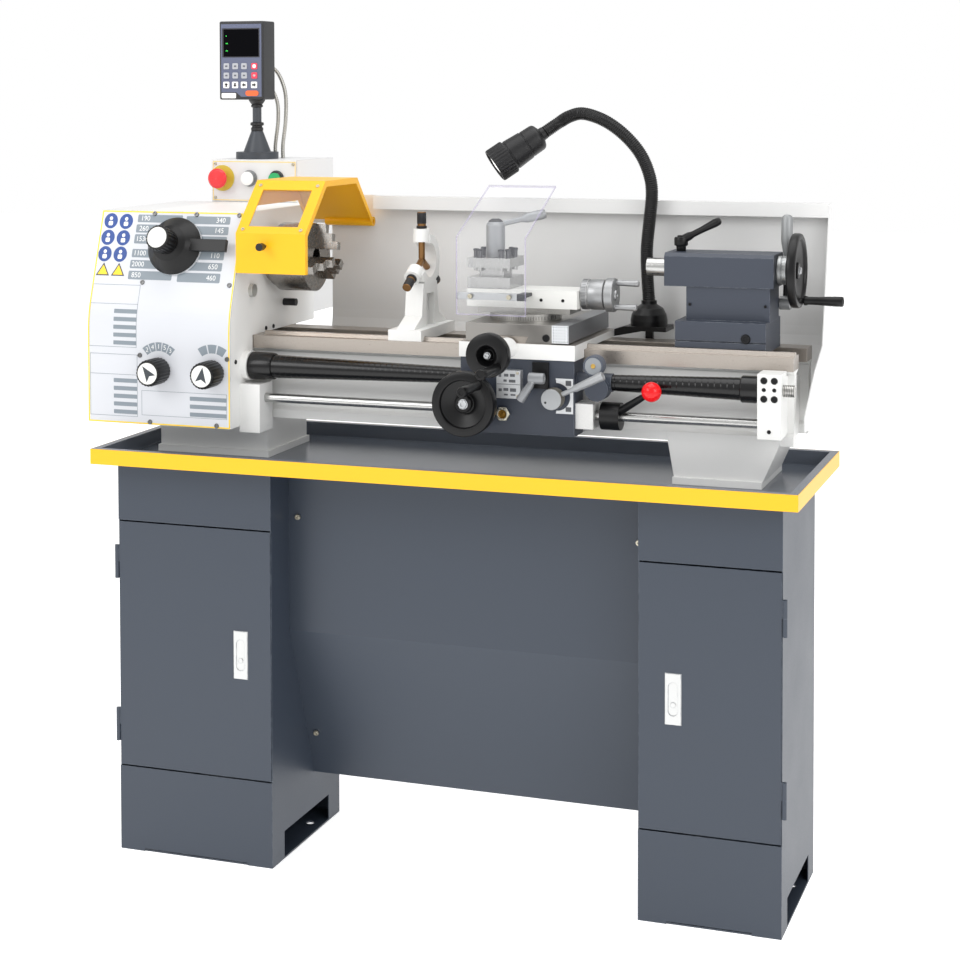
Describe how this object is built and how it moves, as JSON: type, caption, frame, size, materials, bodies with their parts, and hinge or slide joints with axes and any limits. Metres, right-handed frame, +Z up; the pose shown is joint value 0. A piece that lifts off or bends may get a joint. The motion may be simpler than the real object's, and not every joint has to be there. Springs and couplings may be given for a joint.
{
  "type": "engine lathe on cabinet stand",
  "caption": "Manual engine lathe with digital readout, chuck guard, carriage, steady and tailstock, on a chip tray over sheet-steel cabinets.",
  "frame": {"origin": "on the floor, at the centre of the outer floor bolt holes, under the middle of the chip tray", "axes": "+X along the bed from the headstock to the tailstock, +Y to the back, +Z up"},
  "size_m": [1.367, 0.7133, 1.551],
  "materials": {
    "stand_paint": "satin",
    "tray_paint": "satin",
    "guard_paint": "satin",
    "white_casting": "painted",
    "white_sheet": "satin",
    "dark_casting": "painted",
    "ground_steel": "ground",
    "bright_metal": "matte",
    "black_plastic": "gloss",
    "black_metal": "satin",
    "black_coil": "satin",
    "red_plastic": "gloss",
    "green_plastic": "gloss",
    "readout_plastic": "matte",
    "clear_plastic": "clear",
    "armoured_cable": "satin",
    "bronze": "turned"
  },
  "bodies": {
    "frame": {"left_cabinet": "stand_paint", "right_cabinet": "stand_paint", "door_hinges": "stand_paint", "stand_panel": "stand_paint", "chip_tray": "tray_paint", "bed": "white_casting", "backsplash": "white_sheet", "end_bracket": "white_casting", "fixing_screws": "ground_steel", "left_screw_cover": "black_coil", "right_screw_cover": "black_coil", "headstock": "white_casting", "front_panel": "white_sheet", "end_cover": "white_sheet", "drive_motor": "dark_casting", "control_box": "white_sheet", "readout_stand": "black_metal", "readout_cables": "armoured_cable"},
    "left_door": {"left_door": "stand_paint"},
    "right_door": {"right_door": "stand_paint"},
    "spindle": {"spindle": "ground_steel", "chuck_body": "ground_steel"},
    "jaw_1": {"chuck_jaw_1": "ground_steel"},
    "jaw_2": {"chuck_jaw_2": "ground_steel"},
    "jaw_3": {"chuck_jaw_3": "ground_steel"},
    "speed_selector": {"speed_selector": "black_plastic"},
    "range_knob": {"range_knob": "black_plastic"},
    "feed_knob_left": {"feed_knob_left": "black_plastic"},
    "feed_knob_right": {"feed_knob_right": "black_plastic"},
    "chuck_guard": {"chuck_guard": "guard_paint", "guard_window": "clear_plastic"},
    "emergency_button": {"emergency_button": "red_plastic"},
    "start_button": {"start_button": "green_plastic"},
    "readout_display": {"readout_display": "readout_plastic"},
    "leadscrew": {"leadscrew": "ground_steel"},
    "control_rod": {"control_rod": "ground_steel"},
    "carriage": {"saddle": "white_casting", "apron": "dark_casting", "lamp_gooseneck": "black_metal", "lamp_head": "black_metal"},
    "carriage_handwheel": {"carriage_handwheel": "black_plastic"},
    "feed_lever": {"feed_lever": "bright_metal"},
    "halfnut_lever": {"halfnut_lever": "bright_metal"},
    "start_lever": {"start_lever": "black_metal"},
    "cross_slide": {"cross_slide": "ground_steel", "scale_housing": "bright_metal"},
    "cross_handwheel": {"cross_handwheel": "black_plastic"},
    "swivel_base": {"swivel_base": "ground_steel"},
    "top_slide": {"top_slide": "ground_steel", "chip_shield": "clear_plastic"},
    "top_slide_crank": {"top_slide_crank": "bright_metal"},
    "tool_post": {"tool_post": "ground_steel"},
    "tool_post_lever": {"tool_post_lever": "bright_metal"},
    "steady": {"steady_frame": "white_casting", "steady_fingers": "bronze"},
    "tailstock": {"tailstock": "dark_casting"},
    "quill": {"quill": "ground_steel"},
    "quill_lock_lever": {"quill_lock_lever": "black_metal"},
    "tailstock_handwheel": {"tailstock_handwheel": "black_plastic"},
    "tailstock_clamp_lever": {"tailstock_clamp_lever": "bright_metal"}
  },
  "joints": [
    {"name": "left_door_hinge", "type": "hinge", "parent": "frame", "child": "left_door", "pos_m": [-0.628, -0.152, 0.387], "axis": [0, 0, -1], "range_deg": [0, 110]},
    {"name": "right_door_hinge", "type": "hinge", "parent": "frame", "child": "right_door", "pos_m": [0.619, -0.152, 0.387], "axis": [0, 0, 1], "range_deg": [0, 110]},
    {"name": "spindle_spin", "type": "hinge", "parent": "frame", "child": "spindle", "pos_m": [-0.394, 0.036, 1.098], "axis": [1, 0, 0], "continuous": true},
    {"name": "jaw_1_slide", "type": "slide", "parent": "spindle", "child": "jaw_1", "axis": [0, -0.1736, -0.9848], "range_m": [-0.012, 0.008]},
    {"name": "jaw_2_slide", "type": "slide", "parent": "spindle", "child": "jaw_2", "axis": [0, 0.9397, 0.342], "range_m": [-0.012, 0.008]},
    {"name": "jaw_3_slide", "type": "slide", "parent": "spindle", "child": "jaw_3", "axis": [0, -0.766, 0.6428], "range_m": [-0.012, 0.008]},
    {"name": "speed_select", "type": "hinge", "parent": "frame", "child": "speed_selector", "pos_m": [-0.523, -0.11006, 1.123], "axis": [0, -0.9542, 0.2991], "continuous": true},
    {"name": "range_select", "type": "hinge", "parent": "frame", "child": "range_knob", "pos_m": [-0.523, -0.11006, 1.123], "axis": [0, -0.9542, 0.2991], "range_deg": [-45, 45]},
    {"name": "feed_select_left", "type": "hinge", "parent": "frame", "child": "feed_knob_left", "pos_m": [-0.539, -0.15, 0.898], "axis": [0, -1, 0], "range_deg": [-60, 60]},
    {"name": "feed_select_right", "type": "hinge", "parent": "frame", "child": "feed_knob_right", "pos_m": [-0.43, -0.15, 0.898], "axis": [0, -1, 0], "range_deg": [-40, 40]},
    {"name": "guard_hinge", "type": "hinge", "parent": "frame", "child": "chuck_guard", "pos_m": [-0.3, 0.193, 1.156], "axis": [-1, 0, 0], "range_deg": [0, 45]},
    {"name": "emergency_press", "type": "slide", "parent": "frame", "child": "emergency_button", "axis": [0, 1, 0], "range_m": [0, 0.005]},
    {"name": "start_press", "type": "slide", "parent": "frame", "child": "start_button", "axis": [0, 1, 0], "range_m": [0, 0.0025], "stiffness_N_per_m": 300},
    {"name": "readout_swivel", "type": "hinge", "parent": "frame", "child": "readout_display", "pos_m": [-0.546, 0.285, 1.4], "axis": [0, 0, 1], "range_deg": [-30, 30], "deforming": ["readout_cables"]},
    {"name": "leadscrew_spin", "type": "hinge", "parent": "frame", "child": "leadscrew", "pos_m": [0.1, -0.084, 0.906], "axis": [1, 0, 0], "continuous": true},
    {"name": "control_rod_turn", "type": "hinge", "parent": "frame", "child": "control_rod", "pos_m": [0.1, -0.084, 0.848], "axis": [1, 0, 0], "range_deg": [-15, 15]},
    {"name": "carriage_slide", "type": "slide", "parent": "frame", "child": "carriage", "axis": [1, 0, 0], "range_m": [-0.08, 0.03], "deforming": ["left_screw_cover", "right_screw_cover"]},
    {"name": "carriage_wheel_turn", "type": "hinge", "parent": "carriage", "child": "carriage_handwheel", "pos_m": [0.061, -0.151, 0.869], "axis": [0, 1, 0], "range_deg": [-1201, 451]},
    {"name": "feed_lever_turn", "type": "hinge", "parent": "carriage", "child": "feed_lever", "pos_m": [0.184, -0.125, 0.913], "axis": [0, 1, 0], "range_deg": [-15, 30]},
    {"name": "halfnut_turn", "type": "hinge", "parent": "carriage", "child": "halfnut_lever", "pos_m": [0.213, -0.125, 0.881], "axis": [0, 1, 0], "range_deg": [0, 40]},
    {"name": "start_lever_turn", "type": "hinge", "parent": "carriage", "child": "start_lever", "pos_m": [0.3, -0.084, 0.848], "axis": [1, 0, 0], "range_deg": [-15, 15]},
    {"name": "cross_feed", "type": "slide", "parent": "carriage", "child": "cross_slide", "axis": [0, 1, 0], "range_m": [-0.03, 0.04]},
    {"name": "cross_wheel_turn", "type": "hinge", "parent": "carriage", "child": "cross_handwheel", "pos_m": [0.124, -0.206, 0.963], "axis": [0, 1, 0], "range_deg": [-5401, 7201]},
    {"name": "compound_swivel", "type": "hinge", "parent": "cross_slide", "child": "swivel_base", "pos_m": [0.124, -0.01, 1.004], "axis": [0, 0, 1], "range_deg": [-30, 15]},
    {"name": "top_feed", "type": "slide", "parent": "swivel_base", "child": "top_slide", "axis": [1, 0, 0], "range_m": [-0.014, 0.035]},
    {"name": "crank_turn", "type": "hinge", "parent": "top_slide", "child": "top_slide_crank", "pos_m": [0.24, -0.01, 1.05], "axis": [1, 0, 0], "range_deg": [-2521, 6301]},
    {"name": "tool_post_turn", "type": "hinge", "parent": "top_slide", "child": "tool_post", "pos_m": [0.067, -0.01, 1.06], "axis": [0, 0, 1], "continuous": true},
    {"name": "tool_post_clamp", "type": "hinge", "parent": "top_slide", "child": "tool_post_lever", "pos_m": [0.067, -0.01, 1.12], "axis": [0, 0, 1], "range_deg": [0, 80]},
    {"name": "steady_slide", "type": "slide", "parent": "frame", "child": "steady", "axis": [1, 0, 0], "range_m": [-0.1, 0]},
    {"name": "tailstock_slide", "type": "slide", "parent": "frame", "child": "tailstock", "axis": [1, 0, 0], "range_m": [-0.03, 0.03]},
    {"name": "quill_feed", "type": "slide", "parent": "tailstock", "child": "quill", "axis": [-1, 0, 0], "range_m": [-0.03, 0.06]},
    {"name": "tail_wheel_turn", "type": "hinge", "parent": "tailstock", "child": "tailstock_handwheel", "pos_m": [0.6, 0.036, 1.098], "axis": [1, 0, 0], "range_deg": [-5401, 10801]},
    {"name": "quill_lock_turn", "type": "hinge", "parent": "tailstock", "child": "quill_lock_lever", "pos_m": [0.397, 0.036, 1.13], "axis": [0, 0, 1], "range_deg": [-60, 30]},
    {"name": "tail_clamp_turn", "type": "hinge", "parent": "tailstock", "child": "tailstock_clamp_lever", "pos_m": [0.57, 0.084, 1.036], "axis": [1, 0, 0], "range_deg": [-40, 0]}
  ],
  "couplings": [
    {"joint": "jaw_2_slide", "follows": "jaw_1_slide", "ratio": 1},
    {"joint": "jaw_3_slide", "follows": "jaw_1_slide", "ratio": 1},
    {"joint": "control_rod_turn", "follows": "start_lever_turn", "ratio": 1},
    {"joint": "carriage_wheel_turn", "follows": "carriage_slide", "rad_per_m": 261.8},
    {"joint": "cross_wheel_turn", "follows": "cross_feed", "rad_per_m": 3141.6},
    {"joint": "crank_turn", "follows": "top_feed", "rad_per_m": 3141.6},
    {"joint": "tail_wheel_turn", "follows": "quill_feed", "rad_per_m": 3141.6}
  ]
}
